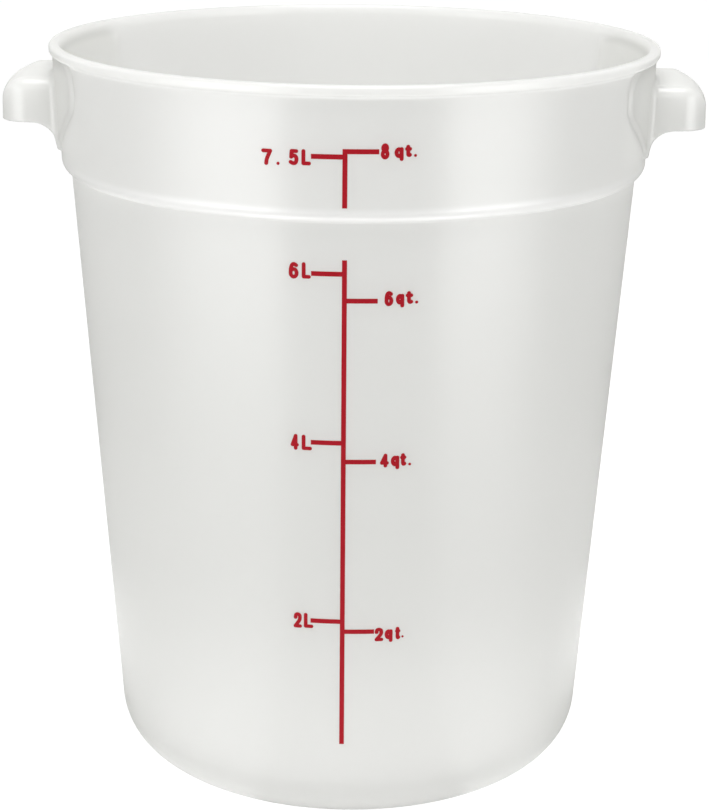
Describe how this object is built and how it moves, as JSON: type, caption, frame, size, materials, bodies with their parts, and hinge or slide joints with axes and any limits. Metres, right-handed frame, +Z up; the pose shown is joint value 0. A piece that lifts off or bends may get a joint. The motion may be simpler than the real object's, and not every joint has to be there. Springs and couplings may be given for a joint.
{
  "type": "dough proofing container",
  "caption": "Round tapered food storage tub with a stepped upper band, a lipped rim, open side handles and a printed filling scale.",
  "frame": {"origin": "centre of the standing ring, on the plane the tub stands on", "axes": "+Z up along the tub's axis, -Y towards the printed scale, +X towards the right-hand handle as seen by someone reading the scale"},
  "size_m": [0.2656, 0.2308, 0.28],
  "materials": {
    "milky_plastic": "milky translucent polypropylene, satin gloss",
    "red_ink": "screen-printed red ink"
  },
  "bodies": {
    "root": {"tub": "milky_plastic", "left_handle": "milky_plastic", "right_handle": "milky_plastic", "lower_scale_line": "red_ink", "upper_scale_line": "red_ink", "litre_marks": "red_ink", "quart_marks": "red_ink"}
  },
  "joints": []
}
